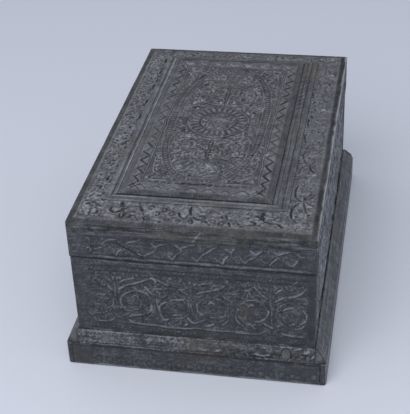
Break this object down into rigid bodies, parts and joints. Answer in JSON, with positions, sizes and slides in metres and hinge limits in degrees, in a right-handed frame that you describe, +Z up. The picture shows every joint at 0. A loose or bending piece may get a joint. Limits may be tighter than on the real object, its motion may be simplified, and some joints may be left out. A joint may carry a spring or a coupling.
{
  "type": "carved wooden box",
  "caption": "Oblong box of blackened carved wood with a hinged lid, a raised lid panel and a stepped plinth.",
  "frame": {"origin": "centre of the bounding box on the surface that the plinth stands on", "axes": "+Z up, +Y along the length towards the far short end, +X towards the long side opposite the hinges"},
  "size_m": [0.1656, 0.251, 0.1096],
  "materials": {
    "carved_wood": "blackened hardwood, carved, worn matt",
    "moulded_wood": "blackened hardwood, planed, worn matt",
    "inside_wood": "plain dark board, unpolished",
    "peg_wood": "end grain of wooden pegs, worn grey",
    "brass": "tarnished cast brass"
  },
  "bodies": {
    "base": {"plinth_board": "inside_wood", "front_edging": "carved_wood", "back_edging": "carved_wood", "left_edging": "moulded_wood", "right_edging": "moulded_wood", "front_moulding": "moulded_wood", "back_moulding": "moulded_wood", "left_moulding": "moulded_wood", "right_moulding": "moulded_wood", "front_wall": "carved_wood", "back_wall": "carved_wood", "left_wall": "carved_wood", "right_wall": "carved_wood", "front_peg_1": "peg_wood", "front_peg_2": "peg_wood", "front_peg_3": "peg_wood", "back_peg_1": "peg_wood", "back_peg_2": "peg_wood", "back_peg_3": "peg_wood", "front_moulding_nail": "peg_wood", "back_moulding_nail": "peg_wood", "front_edging_nail": "peg_wood", "back_edging_nail": "peg_wood", "front_hinge_base_leaf": "brass", "front_hinge_pin": "brass", "front_hinge_base_screw_front": "brass", "front_hinge_base_screw_back": "brass", "back_hinge_base_leaf": "brass", "back_hinge_pin": "brass", "back_hinge_base_screw_front": "brass", "back_hinge_base_screw_back": "brass"},
    "lid": {"lid_front_rim": "carved_wood", "lid_back_rim": "carved_wood", "lid_left_rim": "carved_wood", "lid_right_rim": "carved_wood", "lid_board": "carved_wood", "lid_frame_front": "moulded_wood", "lid_frame_back": "moulded_wood", "lid_frame_left": "moulded_wood", "lid_frame_right": "moulded_wood", "lid_panel": "carved_wood", "front_hinge_lid_leaf": "brass", "front_hinge_lid_screw_front": "brass", "front_hinge_lid_screw_back": "brass", "back_hinge_lid_leaf": "brass", "back_hinge_lid_screw_front": "brass", "back_hinge_lid_screw_back": "brass"}
  },
  "joints": [
    {"name": "lid_hinge", "type": "hinge", "parent": "base", "child": "lid", "pos_m": [-0.075, 0, 0.081], "axis": [0, -1, 0], "range_deg": [0, 100]}
  ]
}
